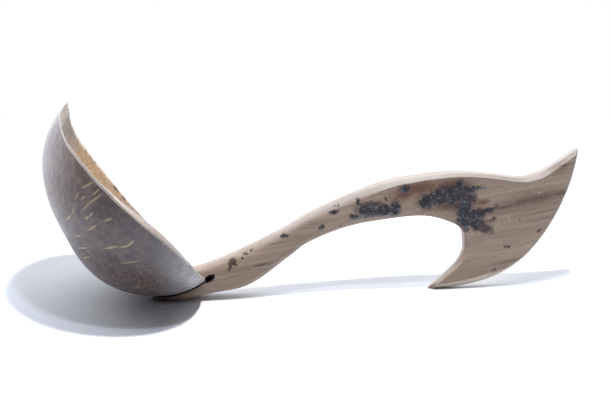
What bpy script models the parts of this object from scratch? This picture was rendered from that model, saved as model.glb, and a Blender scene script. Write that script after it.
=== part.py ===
"""Coconut-shell ladle: a cut shell bowl held in the slotted end of a carved wooden handle.

The shell's rim slides into a curved slot between an upper jaw and a thin lower tongue, and two
wooden pegs go through jaw, shell and tongue.  +X runs from bowl to tail, +Z is up, and the ladle
stands on the tongue's foot and the tail's hook at z = 0.  Sizes are in millimetres.
"""
import math

import bmesh
import bpy
from mathutils import Matrix, Vector

MM = 0.001

# Bowl: a coconut shell, turned about its own axis, which leans over towards the handle
BOWL_RADIUS = 51.5
BOWL_DEPTH = 42.0
BOWL_WALL = 4.2
BOWL_LEAN = 65.4
BOWL_SETBACK = 77.6
WALL_SWEEP = 125.0
MERGE = 0.02
BOWL_STEPS = 72
PROFILE_STEPS = 14

# Rim, as heights along the bowl's axis from its widest circle; the front lip is skewed by hand
RIM_AT_HANDLE = 6.0
RIM_MIDDLE_DROP = 11.8
RIM_DIP_DROP = 18.2
RIM_DIP_REACH = 34.0
LIP_DROP = 13.4
LIP_FLARE = 0.8
RIM_TWIST = 17.0
RIM_TILT = 4.0
RIM_EASE = 0.7

# Joint between shell and handle
FIT = 0.3
FOOT_THICKNESS = 2.3
TONGUE_LENGTH = 24.0
FOOT_LENGTH = 13.0
JAW_LENGTH = 17.0
JAW_THICKNESS = 2.3
JAW_FALL = 5.8
ROOT_HOLE_RADIUS = 2.0
PEG_RADIUS = 1.5
PEG_REAR_ANGLE = 8.0
PEG_FRONT_ANGLE = 20.0

# Handle side view: reaches run along X from the joint, but the tail's from the saddle, and heights
# stand above the table
ROOT_REACH = 4.0
ROOT_DEPTH = 13.2
THROAT_REACH = 21.0
THROAT_HEIGHT = 5.7
THROAT_DEPTH = 15.2
NECK_REACH = 38.5
NECK_HEIGHT = 18.2
NECK_DEPTH = 12.0
WRIST_REACH = 48.0
WRIST_HEIGHT = 24.2
WRIST_DEPTH = 12.6
SHOULDER_REACH = 66.0
SHOULDER_HEIGHT = 30.6
SHOULDER_DEPTH = 14.6
BACK_REACH = 84.5
BACK_HEIGHT = 33.8
BACK_DEPTH = 16.8
CREST_REACH = 102.0
CREST_HEIGHT = 53.2
NOTCH_ROOF_HEIGHT = 34.6
NOTCH_REACH = 119.5
NOTCH_HEIGHT = 18.0
SADDLE_REACH = 147.0
SADDLE_HEIGHT = 49.7
TAIL_REACH = 25.3
TAIL_HEIGHT = 62.2
TAIL_BULGE = 18.5
HOOK_REACH = 101.5

# Lean of each section: how far its back stands ahead of its underside along X
HEEL_LEAN = 3.0
ROOT_LEAN = -2.0
THROAT_LEAN = -6.0
NECK_LEAN = -3.5
WRIST_LEAN = -1.0
CREST_LEAN = 2.5
BROW_LEAN = 7.5

# Fan of sections from the crest round the notch to the hook
ROOF_SETBACK = 2.0
ROOF_FALL = 0.2
BROW_SETBACK = 8.0
BROW_FALL = 2.9
CHEEK_SETBACK = 1.2
CHEEK_RISE = 8.5
CHEEK_BACK = 14.0
CHEEK_CLIMB = 1.8
CHEEK_BULGE = 1.5
NOTCH_BULGE = 5.0
FLUKE_SETBACK = 5.0
FLUKE_FALL = 7.5
FLUKE_AHEAD = 11.0
FLUKE_CLIMB = 3.8
FLUKE_BULGE = 11.0
TAPER_STEP = 1.0

# Handle thickness across Y, and the squareness of its sections (2 is an ellipse)
NECK_THICKNESS = 11.0
CREST_THICKNESS = 12.0
TAIL_THICKNESS = 8.0
FOOT_SQUARENESS = 6.0
NECK_SQUARENESS = 2.5
TAIL_SQUARENESS = 7.0
EDGE_THICKNESS = 3.0
SOLE_TRIM = 0.6
SECTION_STEPS = 18
RINGS_PER_SECTION = 4

HANDLE_COLOUR = (0.30, 0.22, 0.15)
SHELL_COLOUR = (0.10, 0.055, 0.03)
PEG_COLOUR = (0.52, 0.38, 0.20)


def clear_scene():
    for thing in list(bpy.data.objects):
        bpy.data.objects.remove(thing, do_unlink=True)


def new_collection(name):
    collection = bpy.data.collections.new(name)
    bpy.context.scene.collection.children.link(collection)
    return collection


def new_material(name, colour, roughness):
    material = bpy.data.materials.new(name)
    material.use_nodes = True
    shader = material.node_tree.nodes["Principled BSDF"]
    shader.inputs["Base Color"].default_value = (*colour, 1.0)
    shader.inputs["Roughness"].default_value = roughness
    shader.inputs["Metallic"].default_value = 0.0
    return material


def new_object(name, data, collection):
    thing = bpy.data.objects.new(name, data)
    collection.objects.link(thing)
    return thing


def evaluated_mesh(thing):
    """The object's shape with its modifiers and its place applied, as a mesh in world metres."""
    bpy.context.view_layer.update()
    depsgraph = bpy.context.evaluated_depsgraph_get()
    mesh = bpy.data.meshes.new_from_object(thing.evaluated_get(depsgraph))
    mesh.transform(thing.matrix_world)
    work = bmesh.new()
    work.from_mesh(mesh)
    bmesh.ops.remove_doubles(work, verts=work.verts, dist=1e-6)
    bmesh.ops.recalc_face_normals(work, faces=work.faces)
    work.to_mesh(mesh)
    work.free()
    return mesh


def settle(thing):
    """Apply the object's modifiers and place, so that later steps work on the plain mesh."""
    mesh = evaluated_mesh(thing)
    thing.modifiers.clear()
    thing.data = mesh
    thing.matrix_world = Matrix.Identity(4)
    return thing


def combine(target, other, operation):
    step = target.modifiers.new(other.name, "BOOLEAN")
    step.operation = operation
    step.solver = "EXACT"
    step.object = other


def outline_slab(name, points, half_width, place, collection):
    """A closed 2D Bezier outline, filled and extruded both ways, as a mesh at the given place.

    Each point is (across, up, corner): a corner keeps straight tangents, the rest run smooth.
    """
    curve = bpy.data.curves.new(name, "CURVE")
    curve.dimensions = "2D"
    curve.fill_mode = "BOTH"
    curve.extrude = half_width * MM
    curve.resolution_u = 6
    spline = curve.splines.new("BEZIER")
    spline.bezier_points.add(len(points) - 1)
    spline.use_cyclic_u = True
    for knot, (across, up, corner) in zip(spline.bezier_points, points):
        knot.co = (across * MM, up * MM, 0.0)
        knot.handle_left_type = "VECTOR" if corner else "AUTO"
        knot.handle_right_type = knot.handle_left_type
    drawing = new_object(name + "_drawing", curve, collection)
    drawing.matrix_world = place
    mesh = evaluated_mesh(drawing)
    bpy.data.objects.remove(drawing, do_unlink=True)
    return new_object(name, mesh, collection)


def bowl_place():
    """World placing of the bowl's own frame: Z along its axis, X towards the handle."""
    lean = math.radians(BOWL_LEAN)
    drop = math.hypot(BOWL_RADIUS * math.sin(lean), BOWL_DEPTH * math.cos(lean))
    height = FOOT_THICKNESS + FIT + drop
    centre = Vector((-BOWL_SETBACK, 0.0, height)) * MM
    return Matrix.Translation(centre) @ Matrix.Rotation(lean, 4, "Y")


def bowl_angle(height):
    """Angle from the pole, along the shell's outer ellipse, of the circle at this height."""
    return math.acos(-height / BOWL_DEPTH)


def bowl_point(angle):
    """World point and outward direction on the shell's outside, on the handle's side."""
    place = bowl_place()
    across = BOWL_RADIUS * math.sin(angle)
    up = -BOWL_DEPTH * math.cos(angle)
    outward = Vector((across / BOWL_RADIUS ** 2, 0.0, up / BOWL_DEPTH ** 2)).normalized()
    return place @ (Vector((across, 0.0, up)) * MM), place.to_3x3() @ outward


def turned_wall(name, outer_gap, inner_gap, collection):
    """The whole shell wall as a turned solid, with the given gaps added outside and inside."""
    top = math.radians(WALL_SWEEP)
    sides = (
        (BOWL_RADIUS + outer_gap, BOWL_DEPTH + outer_gap),
        (BOWL_RADIUS - BOWL_WALL - inner_gap, BOWL_DEPTH - BOWL_WALL - inner_gap),
    )
    profile = []
    for (radius, depth), backwards in zip(sides, (False, True)):
        steps = range(PROFILE_STEPS + 1)
        for step in reversed(steps) if backwards else steps:
            angle = top * (1.0 - step / PROFILE_STEPS)
            profile.append((radius * math.sin(angle), 0.0, -depth * math.cos(angle)))
    mesh = bpy.data.meshes.new(name)
    last = len(profile)
    edges = [(first, (first + 1) % last) for first in range(last) if first != PROFILE_STEPS]
    mesh.from_pydata([Vector(point) * MM for point in profile], edges, [])
    wall = new_object(name, mesh, collection)
    wall.matrix_world = bowl_place()
    turn = wall.modifiers.new("turn", "SCREW")
    turn.axis = "Z"
    turn.steps = BOWL_STEPS
    turn.render_steps = BOWL_STEPS
    turn.use_merge_vertices = True
    turn.merge_threshold = MERGE * MM
    return settle(wall)


def rim_cutter(name, lift, collection):
    """Everything above the rim line: a long even run, a dip near the front and a raised lip."""
    twist = math.radians(RIM_TWIST)
    tilt = math.radians(RIM_TILT)
    far = BOWL_RADIUS * 1.4
    at_handle = BOWL_RADIUS * math.sin(bowl_angle(RIM_AT_HANDLE))
    run = at_handle * math.cos(twist)
    run_height = RIM_AT_HANDLE - at_handle * math.sin(twist) * math.tan(tilt)
    slope = (run_height + RIM_MIDDLE_DROP) / run
    front = BOWL_RADIUS * math.sin(bowl_angle(-LIP_DROP))
    line = [
        (far, run_height + (far - run) * slope, True),
        (run, run_height, False),
        (0.0, -RIM_MIDDLE_DROP, False),
        (-RIM_DIP_REACH, -RIM_DIP_DROP, False),
        (-front, -LIP_DROP, False),
        (-far, -LIP_DROP + (far - front) * LIP_FLARE, True),
    ]
    roof = [(-far, far, True), (far, far, True)]
    points = [(across, up + lift, corner) for across, up, corner in line] + roof
    skew = Matrix.Rotation(-twist, 4, "Z") @ Matrix.Rotation(tilt, 4, "X")
    upright = Matrix.Rotation(math.radians(90.0), 4, "X")
    return outline_slab(name, points, far, bowl_place() @ skew @ upright, collection)


def cylinder(name, radius, half_length, centre, axis, sides, collection):
    work = bmesh.new()
    bmesh.ops.create_cone(
        work,
        cap_ends=True,
        segments=sides,
        radius1=radius * MM,
        radius2=radius * MM,
        depth=2.0 * half_length * MM,
    )
    mesh = bpy.data.meshes.new(name)
    work.to_mesh(mesh)
    work.free()
    thing = new_object(name, mesh, collection)
    turn = axis.to_track_quat("Z", "Y").to_matrix().to_4x4()
    thing.matrix_world = Matrix.Translation(centre) @ turn
    return thing


def handle_sections(joint):
    """The carver's sections, each from a point on the underside to a point on the back.

    A row is (underside reach, underside height, lean, depth, thickness, squareness, bulge).  Lean
    and depth are the steps along X and Z to the back, and the bulge bows the section outwards,
    so that the last one is the tail's round outer edge.
    """
    neck = NECK_THICKNESS
    crest = CREST_THICKNESS
    tail = TAIL_THICKNESS
    foot = FOOT_SQUARENESS
    soft = NECK_SQUARENESS
    crisp = TAIL_SQUARENESS
    firm = 0.5 * (soft + crisp)
    sole = -SOLE_TRIM
    jaw = joint.z / MM + BOWL_WALL + JAW_THICKNESS
    tip_depth = jaw - JAW_FALL - sole
    heel = FOOT_LENGTH - TONGUE_LENGTH
    heel_depth = jaw - JAW_FALL * heel ** 2 / JAW_LENGTH ** 2 - sole
    root = jaw + 0.5 - ROOT_DEPTH
    roof = NOTCH_ROOF_HEIGHT
    roof_depth = CREST_HEIGHT - roof
    to_saddle = SADDLE_REACH - NOTCH_REACH
    saddle_depth = SADDLE_HEIGHT - NOTCH_HEIGHT
    brow = NOTCH_REACH - BROW_SETBACK
    cheek = NOTCH_REACH - CHEEK_SETBACK
    cheek_low = NOTCH_HEIGHT + CHEEK_RISE
    cheek_lean = SADDLE_REACH - CHEEK_BACK - cheek
    cheek_depth = SADDLE_HEIGHT + CHEEK_CLIMB - cheek_low
    fluke = NOTCH_REACH - FLUKE_SETBACK
    fluke_low = NOTCH_HEIGHT - FLUKE_FALL
    fluke_lean = SADDLE_REACH + FLUKE_AHEAD - fluke
    fluke_depth = SADDLE_HEIGHT + FLUKE_CLIMB - fluke_low
    tail_lean = SADDLE_REACH + TAIL_REACH - HOOK_REACH
    roof_start = CREST_REACH - ROOF_SETBACK
    roof_lean = CREST_LEAN + ROOF_SETBACK
    brow_thick = crest - TAPER_STEP
    cheek_thick = tail + 2.0 * TAPER_STEP
    notch_thick = tail + TAPER_STEP
    return [
        (-TONGUE_LENGTH, sole, TONGUE_LENGTH - JAW_LENGTH, tip_depth, neck, foot, 0.0),
        (heel, sole, HEEL_LEAN, heel_depth, neck, foot, 0.0),
        (ROOT_REACH, root, ROOT_LEAN, ROOT_DEPTH, neck, firm, 0.0),
        (THROAT_REACH, THROAT_HEIGHT, THROAT_LEAN, THROAT_DEPTH, neck, soft, 0.0),
        (NECK_REACH, NECK_HEIGHT, NECK_LEAN, NECK_DEPTH, neck, soft, 0.0),
        (WRIST_REACH, WRIST_HEIGHT, WRIST_LEAN, WRIST_DEPTH, neck, soft, 0.0),
        (SHOULDER_REACH, SHOULDER_HEIGHT, 0.0, SHOULDER_DEPTH, neck, soft, 0.0),
        (BACK_REACH, BACK_HEIGHT, 0.0, BACK_DEPTH, crest, firm, 0.0),
        (roof_start, roof, roof_lean, roof_depth - ROOF_FALL, crest, crisp, 0.0),
        (brow, roof - BROW_FALL, BROW_LEAN, roof_depth + BROW_FALL, brow_thick, crisp, 0.0),
        (cheek, cheek_low, cheek_lean, cheek_depth, cheek_thick, crisp, CHEEK_BULGE),
        (NOTCH_REACH, NOTCH_HEIGHT, to_saddle, saddle_depth, notch_thick, crisp, NOTCH_BULGE),
        (fluke, fluke_low, fluke_lean, fluke_depth, tail, crisp, FLUKE_BULGE),
        (HOOK_REACH, sole, tail_lean, TAIL_HEIGHT - sole, tail, crisp, TAIL_BULGE),
    ]


def smooth(rows, place):
    """Row of values at a place along the sections, on a smooth curve through them all."""
    index = min(int(place), len(rows) - 2)
    share = place - index
    before = rows[max(index - 1, 0)]
    start, end = rows[index], rows[index + 1]
    after = rows[min(index + 2, len(rows) - 1)]
    values = []
    for a, b, c, d in zip(before, start, end, after):
        bend = 2.0 * a - 5.0 * b + 4.0 * c - d
        twist = 3.0 * (b - c) + d - a
        values.append(b + 0.5 * share * (c - a + share * (bend + share * twist)))
    return values


def section_ring(row, squeeze, start):
    """Points round one section: a squarish ellipse between its two ends, bowed by its bulge."""
    reach, height, lean, depth, thickness, squareness, bulge = row
    low = Vector((start + reach, 0.0, height))
    rise = Vector((lean, 0.0, depth))
    outward = Vector((rise.z, 0.0, -rise.x)).normalized()
    near, far = [], []
    for step in range(SECTION_STEPS + 1):
        share = 0.5 - 0.5 * math.cos(math.pi * (step + 0.3) / (SECTION_STEPS + 0.6))
        point = low + rise * share + outward * (4.0 * bulge * share * (1.0 - share))
        wide = (1.0 - abs(2.0 * share - 1.0) ** squareness) ** (1.0 / squareness)
        half = Vector((0.0, 0.5 * thickness * squeeze * wide, 0.0))
        near.append(point - half)
        far.append(point + half)
    return near + far[::-1]


def lofted_handle(name, joint, collection):
    """The handle's blank: one closed skin over all its sections, thinning to the tail's edge."""
    rows = handle_sections(joint)
    last = len(rows) - 1
    places = [step / RINGS_PER_SECTION for step in range(last * RINGS_PER_SECTION)]
    places += [last - 0.12, last - 0.05, last - 0.015, last]
    edge = EDGE_THICKNESS / TAIL_THICKNESS
    work = bmesh.new()
    rings = []
    for place in places:
        near_edge = max(0.0, place - last + 1.0) ** 12.0
        squeeze = math.sqrt(1.0 - (1.0 - edge ** 2) * near_edge)
        ring = section_ring(smooth(rows, place), squeeze, joint.x / MM)
        rings.append([work.verts.new(point * MM) for point in ring])
    size = len(rings[0])
    for first, second in zip(rings, rings[1:]):
        for step in range(size):
            after = (step + 1) % size
            work.faces.new((first[step], first[after], second[after], second[step]))
    for ring in (rings[0], rings[-1]):
        for step in range(SECTION_STEPS):
            mirror = size - 1 - step
            work.faces.new((ring[step], ring[step + 1], ring[mirror - 1], ring[mirror]))
    bmesh.ops.recalc_face_normals(work, faces=work.faces)
    mesh = bpy.data.meshes.new(name)
    work.to_mesh(mesh)
    work.free()
    return new_object(name, mesh, collection)


def block(name, size, centre, collection):
    work = bmesh.new()
    bmesh.ops.create_cube(work, size=1.0)
    bmesh.ops.scale(work, verts=work.verts, vec=Vector(size) * MM)
    mesh = bpy.data.meshes.new(name)
    work.to_mesh(mesh)
    work.free()
    thing = new_object(name, mesh, collection)
    thing.location = Vector(centre) * MM
    return thing


def build():
    clear_scene()
    pieces = new_collection("coconut_shell_ladle")
    tools = new_collection("cutters")

    rim_angle = bowl_angle(RIM_AT_HANDLE)
    joint, _ = bowl_point(rim_angle)

    handle = lofted_handle("carved_handle", joint, pieces)
    length = 4.0 * (SADDLE_REACH + TAIL_REACH)
    table = block("table_plane", (length, length, length), (0.0, 0.0, -0.5 * length), tools)
    combine(handle, table, "DIFFERENCE")
    settle(handle)
    blank = new_object("handle_blank", handle.data.copy(), tools)

    shell = turned_wall("coconut_shell_bowl", 0.0, 0.0, pieces)
    combine(shell, rim_cutter("rim_cut", 0.0, tools), "DIFFERENCE")
    settle(shell)
    ease = shell.modifiers.new("eased rim", "BEVEL")
    ease.limit_method = "ANGLE"
    ease.angle_limit = math.radians(40.0)
    ease.width = RIM_EASE * MM
    ease.segments = 2
    settle(shell)

    slot = turned_wall("slot_cut", FIT, FIT, tools)
    combine(slot, rim_cutter("slot_end", FIT, tools), "DIFFERENCE")
    settle(slot)
    combine(handle, slot, "DIFFERENCE")
    across = Vector((0.0, 1.0, 0.0))
    root = cylinder("root_hole", ROOT_HOLE_RADIUS, CREST_THICKNESS, joint, across, 24, tools)
    combine(handle, root, "DIFFERENCE")

    peg_reach = 2.0 * ROOT_DEPTH
    peg_wood = new_material("peg_wood", PEG_COLOUR, 0.6)
    for name, back in (("peg_rear", PEG_REAR_ANGLE), ("peg_front", PEG_FRONT_ANGLE)):
        spot, outward = bowl_point(rim_angle - math.radians(back))
        bore = cylinder(name + "_bore", PEG_RADIUS + FIT, peg_reach, spot, outward, 24, tools)
        combine(handle, bore, "DIFFERENCE")
        combine(shell, bore, "DIFFERENCE")
        peg = cylinder(name, PEG_RADIUS, peg_reach, spot, outward, 24, pieces)
        combine(peg, blank, "INTERSECT")
        settle(peg)
        peg.data.materials.clear()
        peg.data.materials.append(peg_wood)

    for piece, colour in ((handle, HANDLE_COLOUR), (shell, SHELL_COLOUR)):
        settle(piece)
        piece.data.materials.clear()
        piece.data.materials.append(new_material(piece.name + "_finish", colour, 0.55))

    for tool in tools.objects:
        tool.hide_render = True
        tool.display_type = "WIRE"


build()
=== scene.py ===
"""A coconut-shell ladle with a carved wooden handle, dressed for its picture.

Sizes are in millimetres, turned to metres where a mesh is made.  +X runs from bowl to tail and +Z
is up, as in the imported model.
"""

import math

import bpy
import numpy as np
from mathutils import Matrix, Vector


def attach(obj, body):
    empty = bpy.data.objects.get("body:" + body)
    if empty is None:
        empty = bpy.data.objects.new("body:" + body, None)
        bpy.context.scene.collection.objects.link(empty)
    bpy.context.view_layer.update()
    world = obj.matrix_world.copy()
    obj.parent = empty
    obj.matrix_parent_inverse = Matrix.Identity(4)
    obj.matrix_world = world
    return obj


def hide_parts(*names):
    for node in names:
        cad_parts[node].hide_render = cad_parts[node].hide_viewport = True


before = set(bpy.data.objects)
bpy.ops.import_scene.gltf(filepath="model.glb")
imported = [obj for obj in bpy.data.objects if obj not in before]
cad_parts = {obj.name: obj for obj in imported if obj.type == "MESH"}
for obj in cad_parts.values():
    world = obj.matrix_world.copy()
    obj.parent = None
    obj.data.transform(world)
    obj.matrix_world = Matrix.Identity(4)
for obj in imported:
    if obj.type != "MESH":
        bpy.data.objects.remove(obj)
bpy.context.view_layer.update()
MM = 0.001
scene = bpy.context.scene


# Camera: a long lens a little above the ladle and to the bowl's side of its middle.  The ladle in
# the picture leans back on its table, so the camera stands lower to the ladle than to the table.
PICTURE_WIDTH = 612.0
FOCAL_PIXELS = 3000.0
SENSOR = 36.0
LOOK_SIDEWAYS = math.radians(8.5)
LOOK_DOWN = math.radians(10.5)
LOOK_ROLL = math.radians(-0.54)
LOOK_AT = np.array([-4.0, 0.0, 41.45])
LOOK_DISTANCE = 1350.0
CLIP = (0.05, 20.0)

ahead = np.array([
    math.sin(LOOK_SIDEWAYS) * math.cos(LOOK_DOWN),
    math.cos(LOOK_SIDEWAYS) * math.cos(LOOK_DOWN),
    -math.sin(LOOK_DOWN),
])
level = np.array([math.cos(LOOK_SIDEWAYS), -math.sin(LOOK_SIDEWAYS), 0.0])
upward = np.cross(level, ahead)
right = math.cos(LOOK_ROLL) * level + math.sin(LOOK_ROLL) * upward
above = math.cos(LOOK_ROLL) * upward - math.sin(LOOK_ROLL) * level
lens = bpy.data.cameras.new("camera")
lens.sensor_fit = "HORIZONTAL"
lens.sensor_width = SENSOR
lens.lens = SENSOR * FOCAL_PIXELS / PICTURE_WIDTH
lens.clip_start, lens.clip_end = CLIP
camera = bpy.data.objects.new("camera", lens)
scene.collection.objects.link(camera)
turned = np.eye(4)
turned[:3, 0] = right
turned[:3, 1] = above
turned[:3, 2] = -ahead
turned[:3, 3] = (LOOK_AT - ahead * LOOK_DISTANCE) * MM
camera.matrix_world = Matrix(turned.tolist())
scene.camera = camera
scene.view_settings.view_transform = "Standard"


# Table: a plain white sheet.  It is tipped under the ladle by as much as the ladle leans back in
# the picture, so that the shadow lies as it does there, and it is clear from beneath.
TABLE_TIP = math.radians(9.3)
TABLE_TOUCH = 1.8
TABLE_HALF = 6000.0
TABLE_WHITE = (0.61, 0.61, 0.61)
TABLE_SEEN = (1.10, 1.10, 1.10)
TABLE_MIRRORED = (1.22, 1.24, 1.29)
BACK_GLOW = 1.25
BACK_TINT = (0.92, 0.98, 1.08)
TABLE_FADE = (0.17, 0.30)
BACK_FADE = (0.05, 0.20)
WHITE = (1.0, 1.0, 1.0)


def plug(tree, node, sockets):
    """Gives the inputs of a node their values or links.  A colour's alpha is 1."""
    for key, value in sockets.items():
        socket = node.inputs[key]
        if isinstance(value, bpy.types.NodeSocket):
            tree.links.new(value, socket)
        else:
            socket.default_value = (*value, 1.0) if socket.type == "RGBA" else value


def add(tree, kind, sockets=None, **settings):
    """One shader node: settings go on the node, and sockets are values or links for its inputs."""
    node = tree.nodes.new(kind)
    for name, value in settings.items():
        setattr(node, name, value)
    plug(tree, node, sockets or {})
    return node


def sum_of(tree, operation, first, second=0.0, third=0.0):
    """The output of one Math node."""
    values = {0: first, 1: second, 2: third}
    return add(tree, "ShaderNodeMath", values, operation=operation).outputs[0]


def product(tree, first, second):
    """Two values multiplied."""
    return sum_of(tree, "MULTIPLY", first, second)


def plus(tree, base, value, factor):
    """The base plus the value times the factor."""
    return sum_of(tree, "MULTIPLY_ADD", value, factor, base)


def vector_sum(tree, operation, *vectors):
    """The output of one Vector Math node: a number for LENGTH and DOT_PRODUCT, else a vector."""
    values = dict(enumerate(vectors))
    outputs = add(tree, "ShaderNodeVectorMath", values, operation=operation).outputs
    return outputs["Value" if operation in ("LENGTH", "DOT_PRODUCT") else "Vector"]


def split(tree, vector):
    """The parts of a vector, as outputs named X, Y and Z."""
    return add(tree, "ShaderNodeSeparateXYZ", {0: vector}).outputs


def between(tree, share, first, second):
    """The colour that lies this share of the way from the first colour to the second."""
    values = {0: share, 6: first, 7: second}
    return add(tree, "ShaderNodeMix", values, data_type="RGBA").outputs[2]


def step_up(tree, value, low, high, bottom=0.0, top=1.0):
    """A smooth step: bottom where the value is under low, top where it is over high."""
    values = {0: value, 1: low, 2: high, 3: bottom, 4: top}
    return add(tree, "ShaderNodeMapRange", values, interpolation_type="SMOOTHSTEP").outputs[0]


def faded(tree, amount, value, fade):
    """The amount multiplied by a smooth step of the value."""
    return product(tree, amount, step_up(tree, value, *fade))


def bare_material(name):
    """A new material, its node tree, its Principled shader and each point's place in the piece."""
    material = bpy.data.materials.new(name)
    material.use_nodes = True
    tree = material.node_tree
    spot = add(tree, "ShaderNodeTexCoord").outputs["Object"]
    return material, tree, tree.nodes["Principled BSDF"], spot


slope = math.tan(TABLE_TIP)
corners = np.array([(-1, -1), (1, -1), (1, 1), (-1, 1)]) * TABLE_HALF
heights = (corners[:, 1:] - TABLE_TOUCH) * slope
table_mesh = bpy.data.meshes.new("table")
table_mesh.from_pydata((np.hstack([corners, heights]) * MM).tolist(), [], [(0, 1, 2, 3)])
table = bpy.data.objects.new("table", table_mesh)
scene.collection.objects.link(table)
material, tree, shader, spot = bare_material("white_table")
table_mesh.materials.append(material)
ray = add(tree, "ShaderNodeLightPath").outputs
mirrored = ray["Is Glossy Ray"]
shown = sum_of(tree, "MAXIMUM", ray["Is Camera Ray"], ray["Is Transmission Ray"])
sheet = between(tree, shown, TABLE_WHITE, TABLE_SEEN)
sheet = between(tree, mirrored, sheet, TABLE_MIRRORED)
plug(tree, shader, {"Base Color": sheet, "Roughness": 1.0, "Specular IOR Level": 0.0})
behind = step_up(tree, split(tree, spot)["Y"], *BACK_FADE, 0.0, BACK_GLOW)
glow = plus(tree, 1.0, behind, mirrored)
tint = between(tree, mirrored, WHITE, BACK_TINT)
plain = add(tree, "ShaderNodeEmission", {"Color": tint, "Strength": glow}).outputs[0]
clear = add(tree, "ShaderNodeBsdfTransparent").outputs[0]
back = add(tree, "ShaderNodeNewGeometry").outputs["Backfacing"]
away = vector_sum(tree, "LENGTH", spot)
far_off = sum_of(tree, "MAXIMUM", shown, mirrored)
far_off = faded(tree, far_off, away, TABLE_FADE)
seen = add(tree, "ShaderNodeMixShader", {0: far_off, 1: shader.outputs[0], 2: plain}).outputs[0]
seen = add(tree, "ShaderNodeMixShader", {0: back, 1: seen, 2: clear}).outputs[0]
tree.links.new(seen, tree.nodes["Material Output"].inputs["Surface"])


# Light: a small lamp high over the tail end throws the clear shadow and a weaker one nearer the
# camera the second edge beside it.  The room fills in, bright behind and overhead and dim in front,
# and polished surfaces mirror its bright back wall.
LAMP_TARGET = (-20.0, 0.0, 20.0)
# Each lamp: its name, place, side, power and colour
LAMPS = (
    ("high_lamp", (96.0, -176.0, 831.0), 50.0, 4.6, (1.0, 0.985, 0.96)),
    ("near_lamp", (18.0, -292.0, 724.0), 60.0, 1.1, (0.86, 0.94, 1.15)),
)
ROOM_MIDDLE = (-0.06, 0.82, 0.57)
ROOM_DIM = (0.07, 0.075, 0.085)
ROOM_BRIGHT = (1.58, 1.69, 1.88)
BACK_WALL = (2.1, 2.25, 2.5)
ROOM_FADE = (0.35, 0.75)


def layered(tree, colour, layers):
    """Paints laid over a colour one by one, each by a smooth step.  A layer is the value that
    drives it, its fade and its paint."""
    for value, fade, paint in layers:
        colour = between(tree, step_up(tree, value, *fade), colour, paint)
    return colour


for name, place, side, power, colour in LAMPS:
    light = bpy.data.lights.new(name, "AREA")
    light.shape = "RECTANGLE"
    light.size = light.size_y = side * MM
    light.energy = power
    light.color = colour
    lamp = bpy.data.objects.new(name, light)
    scene.collection.objects.link(lamp)
    lamp.location = Vector(place) * MM
    lamp.rotation_mode = "QUATERNION"
    lamp.rotation_quaternion = (Vector(LAMP_TARGET) - Vector(place)).to_track_quat("-Z", "Y")
    lamp.visible_camera = False
world = bpy.data.worlds.new("white_room")
scene.world = world
world.use_nodes = True
tree = world.node_tree
ground = tree.nodes["Background"]
way = add(tree, "ShaderNodeTexCoord").outputs["Generated"]
toward = vector_sum(tree, "DOT_PRODUCT", way, ROOM_MIDDLE)
room = between(tree, step_up(tree, toward, *ROOM_FADE), ROOM_DIM, ROOM_BRIGHT)
depth = split(tree, way)["Y"]
mirrored = layered(tree, room, (
    (depth, (-0.30, 0.45), WHITE),
    (depth, (0.25, 0.70), BACK_WALL),
))
ray = add(tree, "ShaderNodeLightPath").outputs
room = between(tree, ray["Is Glossy Ray"], room, mirrored)
shown = sum_of(tree, "MAXIMUM", ray["Is Camera Ray"], ray["Is Transmission Ray"])
tree.links.new(between(tree, shown, room, WHITE), ground.inputs["Color"])


# Bowl: a coconut shell sawn across, scraped clean and polished outside.  Its hand-cut rim dips
# towards the front and lifts to a lip, and pale fibres run down it from the rim to the pole.
SHELL_RADIUS = 51.5
SHELL_DEPTH = 42.0
SHELL_WALL = 4.2
SHELL_LEAN = math.radians(65.4)
SHELL_CENTRE = np.array([-77.6, 0.0, 52.58])
SHELL_RIDGE = 0.25
RIDGE_COUNT = 3.0
RIDGE_START = 0.6
GRIP_REACH = 0.9
# Swells of the shell: degrees round from the handle and up from the pole, spread, and height
SHELL_SWELLS = np.array([
    (172.0, 35.0, 15.0, 0.7),
    (-15.0, 37.0, 20.0, 1.5),
    (0.0, 4.0, 12.0, -0.8),
    (172.0, 68.0, 12.0, -0.7),
])
# The sawn rim: degrees round from the handle, height of its outer edge along the shell's axis, and
# how far the inner edge lies below the outer one
RIM_LINE = np.array([
    (-180.0, -18.4, 2.3),
    (-150.0, -21.5, 1.2),
    (-121.0, -18.5, 0.3),
    (-106.0, -15.2, -0.6),
    (-93.0, -11.6, -1.7),
    (-79.0, -6.7, -2.1),
    (-66.0, -1.9, -1.2),
    (-51.0, 1.5, -0.5),
    (-35.0, 4.1, 0.3),
    (-6.0, 6.5, 1.6),
    (20.0, 4.1, 1.0),
    (49.0, -2.6, 0.6),
    (80.0, -10.2, 0.5),
    (115.0, -15.9, 0.5),
    (135.0, -16.4, 0.7),
    (160.0, -13.9, 1.6),
    (170.0, -14.8, 2.2),
    (180.0, -18.4, 2.3),
])
RIM_EASE = 0.9
RIM_EASE_MOST = 0.4
RIM_WAVE = 0.06
# Waves of the rim: how many in a turn, where they start, and height
RIM_WAVES = (
    (9.0, 0.7, 1.0),
    (23.0, 0.0, 0.7),
    (41.0, 2.0, 0.5),
)
RIM_STEPS = 900
BEND_STEPS = 8
AROUND = 480
UP_OUTSIDE = 112
DOWN_INSIDE = 44
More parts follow.
